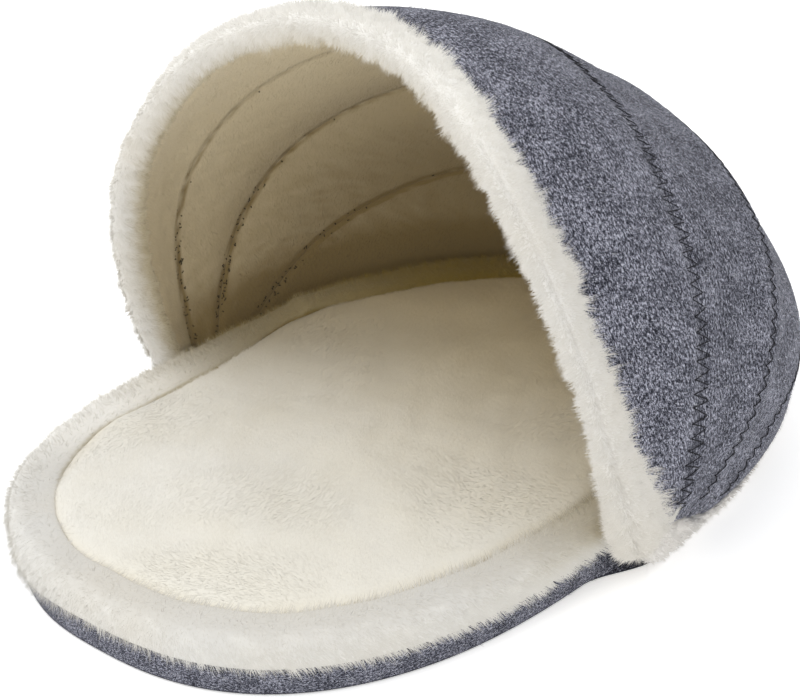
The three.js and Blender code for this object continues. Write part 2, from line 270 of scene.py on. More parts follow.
def spline(lines, place):
    """Centripetal curve through lines (k, n, d), read at places (n,) from 0 to k - 1."""
    first = 2 * lines[:1] - lines[1:2]
    last = 2 * lines[-1:] - lines[-2:-1]
    padded = np.concatenate([first, lines, last])
    span = np.clip(np.floor(place).astype(int), 0, len(lines) - 2)
    share = (place - span)[:, None]
    each = np.arange(len(place))
    p0, p1, p2, p3 = (padded[span + k, each] for k in range(4))
    pairs = ((p0, p1), (p1, p2), (p2, p3))
    d0, d1, d2 = (np.maximum(((b - a) ** 2).sum(-1, keepdims=True) ** 0.25, 1e-4) for a, b in pairs)
    t1 = ((p1 - p0) / d0 - (p2 - p0) / (d0 + d1) + (p2 - p1) / d1) * d1
    t2 = ((p2 - p1) / d1 - (p3 - p1) / (d1 + d2) + (p3 - p2) / d2) * d1
    square = -3 * p1 + 3 * p2 - 2 * t1 - t2
    cube = 2 * p1 - 2 * p2 + t1 + t2
    return p1 + t1 * share + square * share**2 + cube * share**3


def oval_points(angle, grow, z):
    """Points of the sole's outline at these angles, grown outwards by so much."""
    exponent = 2 / OUTLINE.power
    reach = np.where(np.sin(angle) < 0, OUTLINE.front, OUTLINE.back)
    x = (OUTLINE.half + grow) * signed_power(np.cos(angle), exponent)
    y = (reach + grow) * signed_power(np.sin(angle), exponent)
    return np.stack(np.broadcast_arrays(x, y, z), axis=-1)


def oval_angle(y, grow):
    reach = OUTLINE.front if y < 0 else OUTLINE.back
    return math.asin(signed_power(y / (reach + grow), OUTLINE.power / 2))


def even_angles(count, samples=6000):
    """Angles that split the outline into equal lengths."""
    angle = np.linspace(0, 2 * np.pi, samples)
    line = oval_points(angle, 0, 0)
    length = running_length(line, 0)
    return np.interp(np.linspace(0, length[-1], count + 1)[:-1], length, angle)


def rim_width(angle):
    extra = np.interp(angle, *zip(*RIM_EXTRA))
    return lerp(RIM.toe_width, RIM.heel_width, np.maximum(0, np.sin(angle)) ** 2) + extra


def rim_proud(angle):
    return lerp(RIM.proud, RIM.heel_proud, np.maximum(0, np.sin(angle)))


def rim_left(angle):
    """1 along the -X side of the rim, whose pile is shorter."""
    return band(angle, *RIM_LEFT.span)


def toe_tuck(angle):
    """1 where the fur of the rim is rolled over the edge of the sole, falling to 0 round it."""
    return np.exp(-(((angle - TOE_TUCK.angle) / TOE_TUCK.width) ** 2))


# The hood's surface

def arch_points(arch, u):
    """u runs from -1 at the -X foot over 0 at the crown to 1 at the +X foot."""
    turn = (1 - np.abs(u)) * np.pi / 2
    (foot_x, foot_y, foot_z), (crown_y, crown_z), belly, bow, flat = arch
    flank = FLANK_GAIN * np.sin(turn) * np.cos(turn) ** 2
    shoulder = 1 + flat * np.sin(turn) ** SHOULDER_POWER
    x = np.sign(u) * (foot_x * np.cos(turn) * shoulder + belly * flank)
    y = lerp(foot_y, crown_y, np.sin(turn)) + bow * flank
    z = lerp(foot_z, crown_z, np.sin(turn))
    return np.stack([x, y, z], axis=-1)


def hem_points(u):
    start = oval_angle(HEM.start, HEM.grow)
    points = oval_points(lerp(start, np.pi / 2, 1 - np.abs(u)), HEM.grow, HEM.z)
    points[:, 0] *= np.sign(u)
    return points


def hood_points(u, w):
    """w is 0 at the mouth, 1 to 3 at the seams and 4 at the hem."""
    lines = [arch_points(arch, u) for arch in ARCHES] + [hem_points(u)]
    return spline(np.stack(lines), w)


def outward(points):
    return unit((points - EGG_CENTRE) / EGG_SIZE**2)


def sheet_points(u, w, gore, depth):
    """Points of the hood sheet at a depth under its outer face."""
    points = hood_points(u, w)
    lean = LEFT_LEAN.reach * smooth(-u, LEFT_LEAN.start, 1)
    points[:, 0] += lean * (1 - smooth(w, 0, LEFT_LEAN.fade))
    height, size = SWELL.hood
    puff = GORE_PUFF[gore] * np.sin((w - gore) * np.pi) + height * soft_noise(points, size, seed=3)
    puff += SEAM_RIDGE.height * np.exp(-(((w - SEAM_RIDGE.seam) / SEAM_RIDGE.width) ** 2))
    points = points + outward(points) * (puff * (1 - u**PUFF_FADE) - depth)[:, None]
    low = (1 - smooth(points[:, 2], HEM.z, HEM.z + HEM_DROP.height))[:, None]
    drop = hem_drop(points[:, 1])[:, None]
    out = drop / HEM_DROP.depth * HEM_DROP.out * unit(points * [1, 1, 0])
    return points + low * (drop * [0, 0, -1] + out)


def hem_drop(y):
    """How far the hem hangs under its line at the feet."""
    return HEM_DROP.depth * smooth(y, HEM_DROP.start, HEM_DROP.end)


def gore_widths(gore, u):
    start, end = (hood_points(u, np.full_like(u, seam)) for seam in (gore, gore + 1))
    return np.linalg.norm(start - end, axis=1)


def trim_reach(u):
    return lerp(TRIM.reach, TRIM.foot_reach, u ** TRIM.foot_power)


def trim_thickness(u):
    return lerp(TRIM.thick, TRIM.crown_thick, (1 - u**2) ** 2)


# Grids of points

def grid_faces(rows, columns, closed):
    """Quads of a grid whose columns close on themselves or not."""
    i, j = np.meshgrid(np.arange(rows - 1), np.arange(columns if closed else columns - 1), indexing="ij")
    k = (j + 1) % columns
    i = i * columns
    return np.stack([i + j, i + k, i + columns + k, i + columns + j], -1).reshape(-1, 4)


def grid_normals(points, away):
    """Normals of a grid of points, on the side that away points to."""
    normals = unit(np.cross(np.gradient(points, axis=0), np.gradient(points, axis=1)))
    return normals * np.where((normals * away).sum(-1, keepdims=True) < 0, -1, 1)


def read_grid(values, row, column):
    """Values of a grid between its points."""
    i = np.minimum(row.astype(int), values.shape[0] - 2)
    j = np.minimum(column.astype(int), values.shape[1] - 2)
    s = (row - i)[:, None]
    t = (column - j)[:, None]
    return lerp(lerp(values[i, j], values[i + 1, j], s), lerp(values[i, j + 1], values[i + 1, j + 1], s), t)


def with_ends(grid):
    """Values for the points of a lofted body, from a grid over its rings."""
    return np.concatenate([grid.ravel(), grid[0, :1], grid[-1, :1]])


def closed_loop(grid):
    """A grid whose columns go round, with its first column again at the end."""
    return np.concatenate([grid, grid[:, :1]], axis=1)


def cell_areas(points):
    a = points[1:, :-1] - points[:-1, :-1]
    b = points[:-1, 1:] - points[:-1, :-1]
    return np.linalg.norm(np.cross(a, b), axis=-1)


def scatter(points, count, rng, weight=1):
    """Random places on a grid, evenly over its area, as rows and columns."""
    area = cell_areas(points) * weight
    cell = rng.choice(area.size, count, p=(area / area.sum()).ravel())
    row, column = np.unravel_index(cell, area.shape)
    return row + rng.random(count), column + rng.random(count)


# Meshes

def outward_faces(points, faces):
    """The faces of a closed body, turned so that they point out."""
    volume = 0
    for group in faces:
        for k in range(1, group.shape[1] - 1):
            a, b, c = points[group[:, 0]], points[group[:, k]], points[group[:, k + 1]]
            volume += (a * np.cross(b, c)).sum()
    return faces if volume > 0 else [group[:, ::-1] for group in faces]


def add_object(name, data):
    made = bpy.data.objects.new(name, data)
    bpy.context.scene.collection.objects.link(made)
    return made


def new_object(name, points, faces, material, normals=None, **attributes):
    """Mesh object from points in millimetres and groups of faces. An attribute is one number or vector for
    each point or each corner."""
    mesh = bpy.data.meshes.new(name)
    corners = np.concatenate([group.ravel() for group in faces]).astype(np.int32)
    sizes = np.concatenate([np.full(len(group), group.shape[1]) for group in faces])
    mesh.vertices.add(len(points))
    mesh.loops.add(len(corners))
    mesh.polygons.add(len(sizes))
    mesh.vertices.foreach_set("co", ((points + SHIFT) * MM).astype(np.float32).ravel())
    mesh.loops.foreach_set("vertex_index", corners)
    mesh.polygons.foreach_set("loop_start", (np.cumsum(sizes) - sizes).astype(np.int32))
    for key, values in attributes.items():
        domain = "POINT" if len(values) == len(points) else "CORNER"
        kind, field = ("FLOAT", "value") if values.ndim == 1 else ("FLOAT_VECTOR", "vector")
        made = mesh.attributes.new(key, kind, domain)
        made.data.foreach_set(field, values.astype(np.float32).ravel())
    mesh.update(calc_edges=True)
    mesh.shade_smooth()
    if normals is not None:
        mesh.normals_split_custom_set_from_vertices(normals.astype(np.float32))
    mesh.materials.append(material)
    return add_object(name, mesh)


def dress(piece, slot, *nodes):
    """A finished piece rides on the part and stands for these nodes, which it hides; slot is not used."""
    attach(piece, "root")
    if nodes:
        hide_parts(*nodes)
    return piece


def lofted(rings):
    """Points and faces of a closed body through rings, with a fan at each end."""
    rows, columns = rings.shape[:2]
    points = np.concatenate([rings.reshape(-1, 3), rings[:1].mean(1), rings[-1:].mean(1)])
    j = np.arange(columns)
    k = (j + 1) % columns
    low = np.stack([np.full(columns, rows * columns), k, j], -1)
    top = (rows - 1) * columns
    high = np.stack([np.full(columns, rows * columns + 1), top + j, top + k], -1)
    return points, outward_faces(points, [grid_faces(rows, columns, True), low, high])


def strand_object(name, root, way, length, width, normal, cloth_light, material, **attributes):
    """Joined strands, each a slender wedge of two faces; an attribute is one number for each strand."""
    side = unit(np.cross(way, normal))
    side *= np.sign((np.cross(side, way) * normal).sum(-1, keepdims=True))
    face = np.cross(side, way)
    half = side * width / 2
    under = -face * width / 4
    tip = root + way * length[:, None]
    tip[:, 2] = np.maximum(tip[:, 2], FLOOR_ROOM)
    strand = np.stack([root - half, root + half, tip, root + half + under, root - half + under, tip], axis=1)
    light = np.stack([unit(cloth_light * normal + face), unit(cloth_light * normal - face)], axis=1)
    start = 6 * np.arange(len(root))[:, None]
    made = new_object(
        name, strand.reshape(-1, 3), [start + [0, 1, 2], start + [3, 4, 5]], material,
        normals=np.repeat(light, 3, axis=1).reshape(-1, 3), height=np.tile([0.0, 0, 1, 0, 0, 1], len(root)),
        **{key: np.repeat(values, 6) for key, values in attributes.items()},
    )
    made.visible_shadow = False
    made.visible_diffuse = False
    return made


def grow_pile(name, points, normals, nap, kind, seed, weight=1, keep=None, **tones):
    """Strands over a grid of points: each leaves along the normal, leans along the nap and gathers in locks.
    keep gives the share of its length that each place keeps, and tones its shares of the deep tone, which is
    painted shade, and of the pale tone, which is painted light."""
    style = dict(zip(PILE_COLUMNS, PILES[kind]))
    rng = np.random.default_rng(seed)
    row, column = scatter(points, style["count"], rng, weight)
    root = read_grid(points, row, column)
    normal = unit(read_grid(normals, row, column))
    along = read_grid(nap, row, column)
    lock = np.stack([soft_noise(root, style["lock"], seed + k) for k in range(1, 4)], axis=-1)
    loose = rng.normal(size=root.shape)
    way = unit(normal + style["lean"] * along + style["pull"] * lock + style["spread"] * loose)
    length = style["length"] * rng.uniform(*LENGTH_RANGE, len(root))
    if keep is not None:
        length = length * read_grid(keep[..., None], row, column)[:, 0]
    shares = {key: read_grid(values[..., None], row, column)[:, 0] for key, values in tones.items()}
    tone = rng.random(len(root))
    ruffled = unit(normal + RUFFLE * loose)
    material = pile_materials[kind]
    return strand_object(
        name, root, way, length, style["width"], ruffled, style["light"], material, tone=tone, **shares
    )


# Materials

def add_node(tree, kind, inputs=None, **settings):
    """New shader node; an input is a value or the socket that feeds it."""
    made = tree.nodes.new(kind)
    for name, value in settings.items():
        setattr(made, name, value)
    for name, value in (inputs or {}).items():
        if isinstance(value, bpy.types.NodeSocket):
            tree.links.new(value, made.inputs[name])
        else:
            made.inputs[name].default_value = value
    return made


def math_node(tree, operation, *values):
    return add_node(tree, "ShaderNodeMath", dict(enumerate(values)), operation=operation).outputs[0]


def mix_colours(tree, share, a, b, blend="MIX"):
    inputs = {0: share, 6: a, 7: b}
    return add_node(tree, "ShaderNodeMix", inputs, data_type="RGBA", blend_type=blend).outputs[2]


def object_noise(tree, scale, detail):
    place = add_node(tree, "ShaderNodeTexCoord").outputs["Object"]
    inputs = {"Vector": place, "Scale": scale, "Detail": detail}
    return add_node(tree, "ShaderNodeTexNoise", inputs).outputs[0]


def ramp(tree, share, stops):
    made = add_node(tree, "ShaderNodeValToRGB", {"Fac": share})
    elements = made.color_ramp.elements
    while len(elements) < len(stops):
        elements.new(0.5)
    for element, (place, colour) in zip(elements, stops):
        element.position = place
        element.color = (*colour, 1)
    return made.outputs["Color"]


def read_attribute(tree, name, output):
    return add_node(tree, "ShaderNodeAttribute", attribute_name=name).outputs[output]


SPECULAR = 0.15
SHEEN_ROUGHNESS = 0.5


def cloth_shader(name, roughness, sheen):
    """New material with a matt cloth shader; gives the material, its tree and the shader."""
    material = bpy.data.materials.new(name)
    material.use_nodes = True
    tree = material.node_tree
    shader = tree.nodes["Principled BSDF"]
    looks = {"Roughness": roughness, "Specular IOR Level": SPECULAR}
    looks.update({"Sheen Weight": sheen, "Sheen Roughness": SHEEN_ROUGHNESS})
    for key, value in looks.items():
        shader.inputs[key].default_value = value
    return material, tree, shader


def add_bump(tree, shader, height, distance):
    inputs = {"Strength": 0.5, "Distance": distance, "Height": height}
    tree.links.new(add_node(tree, "ShaderNodeBump", inputs).outputs[0], shader.inputs["Normal"])


# Fibres in the felt: turn from the main direction, length, width and weight
FELT_FIBRES = [
    (0, 2.2, 0.38, 0.26),
    (0.6, 1.6, 0.38, 0.26),
    (-0.6, 1.6, 0.38, 0.26),
    (0.1, 3.2, 1.6, 0.22),
]
FELT_STOPS = [
    (0.1, (0.01, 0.0105, 0.0155)),
    (0.35, (0.05, 0.0515, 0.068)),
    (0.5, (0.12, 0.1235, 0.155)),
    (0.65, (0.228, 0.233, 0.286)),
    (0.9, (0.46, 0.467, 0.535)),
]
# Tone of the felt: its middle, contrast and base, random patches, and the painted shade from the edge
# attribute
FELT_TONE = Group(middle=0.51, contrast=5.8, base=0.28, patch=0.4, edge=-0.5)
FIBRE_STOPS = [
    (0, (0.01, 0.011, 0.015)), (0.35, (0.06, 0.065, 0.085)), (0.6, (0.2, 0.21, 0.26)), (1, (0.55, 0.56, 0.6)),
]


def felt_material():
    """Melange of dark and pale fibres in clumps and patches, darkened by the edge attribute: painted shadow
    along the edge that lies on the floor and under the hood's feet, and painted shade on some gores.
    """
    material, tree, shader = cloth_shader("grey_felt", roughness=0.95, sheen=0.02)
    cloth = read_attribute(tree, "cloth", "Vector")
    fibres = 0
    for turn, length, width, weight in FELT_FIBRES:
        inputs = {"Vector": cloth, "Rotation": (0, 0, turn), "Scale": (length, width, 1)}
        place = add_node(tree, "ShaderNodeMapping", inputs, vector_type="TEXTURE").outputs[0]
        inputs = {"Vector": place, "Scale": 1, "Detail": 2.5, "Roughness": 0.6}
        noise = add_node(tree, "ShaderNodeTexNoise", inputs, noise_dimensions="2D").outputs[0]
        fibres = math_node(tree, "MULTIPLY_ADD", noise, weight, fibres)
    inputs = {"Vector": cloth, "Scale": 0.05, "Detail": 2}
    patch = add_node(tree, "ShaderNodeTexNoise", inputs, noise_dimensions="2D").outputs[0]
    tone = math_node(tree, "SUBTRACT", fibres, FELT_TONE.middle)
    tone = math_node(tree, "MULTIPLY_ADD", tone, FELT_TONE.contrast, FELT_TONE.base)
    tone = math_node(tree, "MULTIPLY_ADD", patch, FELT_TONE.patch, tone)
    # Painted shade: the edge attribute darkens the felt
    tone = math_node(tree, "MULTIPLY_ADD", read_attribute(tree, "edge", "Fac"), FELT_TONE.edge, tone)
    tree.links.new(ramp(tree, tone, FELT_STOPS), shader.inputs["Base Color"])
    add_bump(tree, shader, fibres, distance=0.0005)
    return material


def felt_fibre_material():
    material, tree, shader = cloth_shader("felt_fibre", roughness=0.9, sheen=0.1)
    tone = read_attribute(tree, "tone", "Fac")
    tree.links.new(ramp(tree, tone, FIBRE_STOPS), shader.inputs["Base Color"])
    return material


def plush_colour(tree, cool, cream, deep):
    """Colour of plush in cool and cream patches, turned toward the pale tone by the pale share, painted light
    on the rim and the trim, and toward the deep tone by the deep share, painted shade.
    """
    patch = object_noise(tree, PATCHES.scale, detail=2)
    share = math_node(tree, "MULTIPLY_ADD", patch, PATCHES.contrast, PATCHES.base)
    share = add_node(tree, "ShaderNodeClamp", {"Value": share}).outputs[0]
    colour = mix_colours(tree, share, (*cool, 1), (*cream, 1))
    colour = mix_colours(tree, read_attribute(tree, "pale", "Fac"), colour, (*PALE, 1))
    return mix_colours(tree, read_attribute(tree, "deep", "Fac"), colour, (*deep, 1))


def plush_material(name, root, cool, cream, deep):
    """Pile with painted shade at its roots, as its strands cast no shadows."""
    material, tree, shader = cloth_shader(name, roughness=0.95, sheen=0.2)
    colour = plush_colour(tree, cool, cream, deep)
    share = math_node(tree, "MULTIPLY_ADD", read_attribute(tree, "height", "Fac"), ROOTS.height, ROOTS.base)
    share = math_node(tree, "MULTIPLY_ADD", read_attribute(tree, "tone", "Fac"), ROOTS.tone, share)
    share = add_node(tree, "ShaderNodeClamp", {"Value": share}).outputs[0]
    shaded = mix_colours(tree, share, colour, (*root, 1), "MULTIPLY")
    tree.links.new(shaded, shader.inputs["Base Color"])
    return material


def backing_material(name, cool, cream, deep):
    """Ground of the pile, mostly hidden under it."""
    material, tree, shader = cloth_shader(name, roughness=1, sheen=0.2)
    tree.links.new(plush_colour(tree, cool, cream, deep), shader.inputs["Base Color"])
    add_bump(tree, shader, object_noise(tree, scale=420, detail=3), distance=0.0008)
    return material


def thread_material(name, dark, pale):
    material, tree, shader = cloth_shader(name, roughness=0.9, sheen=0.01)
    stops = [(0.35, dark), (0.7, pale)]
    tree.links.new(ramp(tree, object_noise(tree, scale=900, detail=1), stops), shader.inputs["Base Color"])
    return material


def floor_material():
    material, tree, shader = cloth_shader("floor", roughness=0.9, sheen=0)
    shader.inputs["Emission Color"].default_value = (1, 1, 1, 1)
    shader.inputs["Emission Strength"].default_value = FLOOR_GLOW
    stops = [(0.2, (0.97, 0.97, 0.97)), (0.8, (0.98, 0.98, 0.98))]
    tree.links.new(ramp(tree, object_noise(tree, scale=0.8, detail=2), stops), shader.inputs["Base Color"])
    return material


# Pile cloths: colour of the painted shade at the roots, the tones in cool patches and in cream patches, and
# the deep tone of the painted shade in the cabin
# The lining's tan tones are in part painted warm shade of the cabin on cream plush
CLOTHS = {
    "rim": ((0.91, 0.9, 0.87), (0.595, 0.588, 0.567), (0.595, 0.572, 0.522), (0.3, 0.225, 0.06)),
    "trim": ((0.85, 0.835, 0.8), (0.618, 0.605, 0.578), (0.618, 0.588, 0.53), (0.47, 0.41, 0.29)),
    "binding": ((0.94, 0.933, 0.918), (0.71, 0.69, 0.66), (0.71, 0.68, 0.64), (0.47, 0.41, 0.29)),
    "cushion": ((0.94, 0.933, 0.918), (0.737, 0.722, 0.675), (0.727, 0.7, 0.62), (0.66, 0.57, 0.385)),
    "lining": ((0.94, 0.933, 0.918), (0.74, 0.655, 0.48), (0.72, 0.63, 0.45), (0.265, 0.198, 0.094)),
}
# Pale tone: painted light on the rim's -X side and the trim's open outer side; the lining's outer face takes
# it in place of its tan tones
PALE = (0.8, 0.785, 0.745)
PATCHES = Group(scale=14, contrast=2, base=-0.5)
# Painted shade at the roots of the strands, which cast no shadows: its share by height along each strand and
# by a random tone for each
ROOTS = Group(base=0.8, height=-0.9, tone=0.25)
felt = felt_material()
thread = thread_material("dark_thread", (0.008, 0.008, 0.01), (0.03, 0.03, 0.036))
brown_thread = thread_material("brown_thread", (0.045, 0.037, 0.024), (0.12, 0.1, 0.068))
pile_materials = dict.fromkeys(("felt", "sole"), felt_fibre_material())
backing_materials = {}
for cloth_kind, (root_painted_shade, *cloth_tones) in CLOTHS.items():
    pile_materials[cloth_kind] = plush_material(f"{cloth_kind}_pile", root_painted_shade, *cloth_tones)
    backing_materials[cloth_kind] = backing_material(f"{cloth_kind}_backing", *cloth_tones)

ROUND = even_angles(STEPS.round)


# The felt sole

def sole_piece():
    arc = np.linspace(0, np.pi / 2, STEPS.level + 2)
    low = SOLE.low_round
    high = SOLE.high_round
    grows = np.concatenate([low * np.sin(arc) - low, high * np.cos(arc) - high])
    levels = np.concatenate([low - low * np.cos(arc), SOLE.top - high + high * np.sin(arc)])
    shape = SOLE.toe_grow * smooth(-np.sin(ROUND), *SOLE.toe) - TOE_TUCK.depth * toe_tuck(ROUND)
    y = oval_points(ROUND, 0, 0)[:, 1]
    flare = band(y, *SOLE_FLARE.span)
    rings = []
    for grow, z in zip(grows, levels):
        spread = SOLE_FLARE.reach * flare * (1 - smooth(z, 0, SOLE_FLARE.height))
        rings.append(oval_points(ROUND, grow + shape + spread, z))
    rings = np.stack(rings)
    points, faces = lofted(rings)
    cloth = np.zeros((len(points), 3))
    cloth[:-2, 0] = np.tile(running_length(rings[0], 0), len(rings))
    cloth[:-2, 1] = np.repeat(running_length(np.stack([grows, levels], axis=-1), 0), len(ROUND))
    corners = [group.ravel() for group in faces]
    cloth = SOLE_GRAIN * np.concatenate([cloth[corners[0]], points[corners[1]], points[corners[2]]])
    # Painted shadow along the bottom edge on the floor, and on the sole at the flare under the hood's feet
    edge = 1 - SOLE_PAINTED_SHADOW.share * smooth(points[:, 2], *SOLE_PAINTED_SHADOW.rise)
    edge[:-2] = np.maximum(edge[:-2], SOLE_FLARE.shade * np.tile(flare, len(rings)))
    sole = new_object("sole_felt", points, faces, felt, cloth=cloth, edge=edge)
    dress(sole, "grey_felt", "base_sole")
    loop = closed_loop(rings)
    normals = grid_normals(loop, loop * [1, 1, 0])
    nap = unit(np.gradient(loop, axis=1))
    side = slice(STEPS.level, None)
    dress(grow_pile("sole_fibres", loop[side], normals[side], nap[side], "sole", seed=71), "grey_felt")


# The plush rim

def rim_rings(inset, turns):
    """Sections of the rim roll, drawn in under its pile at the top and outside. Its ends meet in a step."""
    low = SOLE.top + GAP
    rings = []
    for angle in np.append(ROUND, ROUND[0]):
        past = RIM_JOINT.angle - angle
        step = RIM_JOINT.step * (1 - smooth(past, 0, RIM_JOINT.fade)) if past > 0 else 0
        toe = smooth(-np.sin(angle), *RIM_TOE.section)
        top = RIM.top - inset + step
        tuck = toe_tuck(angle)
        edge = smooth(-np.sin(angle), *RIM_TOE.edge)
        outer = rim_proud(angle) - inset + RIM_LEFT.grow * rim_left(angle)
        outer += RIM_EDGE.grow * edge * (1 - tuck) - TOE_TUCK.rim_depth * tuck
        inner = GAP - rim_width(angle) - lerp(RIM_SECTION.side_tuck, RIM_SECTION.toe_tuck, toe)
        inner_power = lerp(RIM_SECTION.side_power, RIM_SECTION.toe_power, toe)
        exponent = 2 / np.where(np.cos(turns) > 0, RIM_SECTION.outer_power, inner_power)
        grow = (outer + inner) / 2 + (outer - inner) / 2 * signed_power(np.cos(turns), exponent)
        z = (top + low) / 2 + (top - low) / 2 * signed_power(np.sin(turns), exponent)
        droop = TOE_TUCK.droop * tuck + RIM_EDGE.droop * edge
        z = z - droop * smooth(np.cos(turns), *RIM_TOE.side) * smooth(-np.sin(turns), *RIM_TOE.under)
        rings.append(oval_points(np.full_like(turns, angle), grow, z))
    rings = np.stack(rings)
    height, size = SWELL.rim
    swell = height * soft_noise(rings, size, seed=11)
    rings[..., 2] += swell * smooth(rings[..., 2], low, low + RIM_TOE.swell)
    return rings


def rim_tones(rings, turns, angle):
    """Shares of the deep tone, painted shade in the cabin, in the crack by the hood and in the crease beside
    the cushion, where one span is partly brownish dirt, and of the pale tone, painted light on the -X side
    with random streaks.
    """
    out = np.cos(turns)
    back = rings[..., 1]
    dark = band(angle, *CREASE_SPAN)
    crease = lerp(CREASE.rim, CREASE.dark, dark) * smooth(-out, *CREASE.side)
    cabin = RIM_CABIN.share * smooth(back, *RIM_CABIN.range)
    cabin = cabin + RIM_CABIN.heel * smooth(back, *RIM_CABIN.heel_range)
    crack = RIM_CRACK.share * smooth(out, *RIM_CRACK.side) * smooth(back, *RIM_CRACK.range)
    cabin = np.clip(np.maximum(cabin + crack, crease), 0, 1)
    feet = smooth(out, *RIM_FEET.side) * smooth(-np.sin(turns), *RIM_FEET.under)
    cabin = cabin * (1 - feet * (1 - smooth(back, *RIM_FEET.fall)))
    streaks = RIM_PALE.streaks * soft_noise(rings, RIM_PALE.size, seed=24) * smooth(out, *RIM_PALE.side)
    pale = np.clip(band(angle, *RIM_PALE.span) + streaks, 0, 1)
    return {"deep": cabin, "pale": pale}


def rim_piece():
    turns = np.linspace(0, 2 * np.pi, STEPS.section + 1)
    rings = rim_rings(SKIN_DEPTH.rim, turns)
    body = rings[:-1, :-1]
    rows, columns = body.shape[:2]
    faces = outward_faces(body.reshape(-1, 3), [grid_faces(rows + 1, columns, True) % (rows * columns)])
    angle = np.append(ROUND, ROUND[0])[:, None]
    tones = rim_tones(rings, turns, angle)
    own = {key: share[:-1, :-1].ravel() for key, share in tones.items()}
    skin = new_object("rim_roll", body.reshape(-1, 3), faces, backing_materials["rim"], **own)
    dress(skin, "cream_fur", "rim_bolster")
    side = np.cos(turns)
    middle = rings.mean(axis=1, keepdims=True)
    normals = grid_normals(rings, rings - middle)
    round_edge = unit(np.gradient(rings, axis=0))
    hang = smooth(-normals[..., 2:], *RIM_SIDES.hang)
    tuck = toe_tuck(angle)[..., None]
    out = unit((rings - middle) * [1, 1, 0]) * (1 - RIM_NAP.out * hang - RIM_NAP.tuck_out * tuck)
    over = smooth(side, *RIM_SIDES.over)[:, None] * [0, 0, RIM_NAP.down]
    down = (hang + tuck) * [0, 0, RIM_NAP.hang_down]
    nap = unit(out + lerp(*RIM_NAP.round, hang) * round_edge - over - down)
    open_side = rim_left(angle) * smooth(side, *RIM_SIDES.open) * (1 - tuck[..., 0])
    nap = nap * (1 - RIM_LEFT.upright * open_side)[..., None]
    hang = hang[..., 0]
    weight = smooth(normals[:-1, :-1, 2], *RIM_WEIGHT.under) * (1 + RIM_WEIGHT.hang * hang[:-1, :-1])
    weight = weight * (1 + RIM_WEIGHT.inner * smooth(-side[:-1], *RIM_WEIGHT.inner_side))
    tufts, inner_tufts = (soft_noise(rings, RIM.tuft, seed) for seed in (22, 23))
    keep = lerp(*RIM_KEEP.range, hang) * (1 + RIM_KEEP.tufts * hang * tufts)
    keep = keep * lerp(1, RIM_LEFT.keep, rim_left(angle) * smooth(side, *RIM_SIDES.left))
    longer = RIM_KEEP.inner + RIM_KEEP.inner_tufts * inner_tufts
    keep = keep * (1 + smooth(-side, *RIM_KEEP.inner_side) * longer)
    fur = grow_pile("rim_fur", rings, normals, nap, "rim", seed=21, weight=weight, keep=keep, **tones)
    dress(fur, "cream_fur")


# The cushion

def cushion_rings(inset):
    levels = np.array(CUSHION_LEVELS, float)
    place = np.linspace(0, len(levels) - 1, (len(levels) - 1) * STEPS.level + 1)
    profile = spline(np.repeat(levels[:, None], len(place), axis=1), place)
    rings = []
    for depth, z in profile:
        sunk = inset * smooth(z, *CUSHION_BODY.skin)
        rings.append(oval_points(ROUND, -rim_width(ROUND) - depth - sunk / 2, z - sunk))
    edge = rings[-1]
    centre = edge.mean(axis=0)
    for share in np.linspace(1, 0, STEPS.crown + 1)[1:-1]:
        ring = lerp(centre, edge, share)
        ring[:, 2] += (CUSHION_CROWN - CUSHION_LEVELS[-1][1]) * (1 - share**2)
        rings.append(ring)
    rings = np.stack(rings)
    swell = 0
    for (height, size), seed in ((SWELL.cushion, 31), (SWELL.fine, 32)):
        swell = swell + height * soft_noise(rings, size, seed)
    rings[..., 2] += swell * smooth(rings[..., 2], *CUSHION_BODY.swell)
    return rings


def cushion_piece():
    rings = cushion_rings(SKIN_DEPTH.cushion)
    points, faces = lofted(rings)
    # Painted shade low down in the crease by the rim, and in the cabin under the hood toward the heel
    crease = CREASE.cushion * (1 - smooth(rings[..., 2], *CUSHION_CABIN.crease))
    cabin = np.maximum(CUSHION_CABIN.share * smooth(rings[..., 1], *CUSHION_CABIN.range), crease)
    pad = new_object("cushion_pad", points, faces, backing_materials["cushion"], deep=with_ends(cabin))
    dress(pad, "cream_plush", "cushion")
    top = STEPS.level + 2
    loop, cabin = (closed_loop(grid)[top:] for grid in (rings, cabin))
    normals = grid_normals(loop, np.array([0, 0, 1]) + loop * [CUSHION_OUT, CUSHION_OUT, 0])
    turn = CUSHION_NAP.swing * soft_noise(loop * [1, 1, 0], CUSHION_NAP.size, seed=33) + CUSHION_NAP.turn
    nap = np.stack([np.cos(turn), np.sin(turn), np.zeros_like(turn)], axis=-1)
    dress(grow_pile("cushion_pile", loop, normals, nap, "cushion", seed=34, deep=cabin), "cream_plush")


# The hood's gores

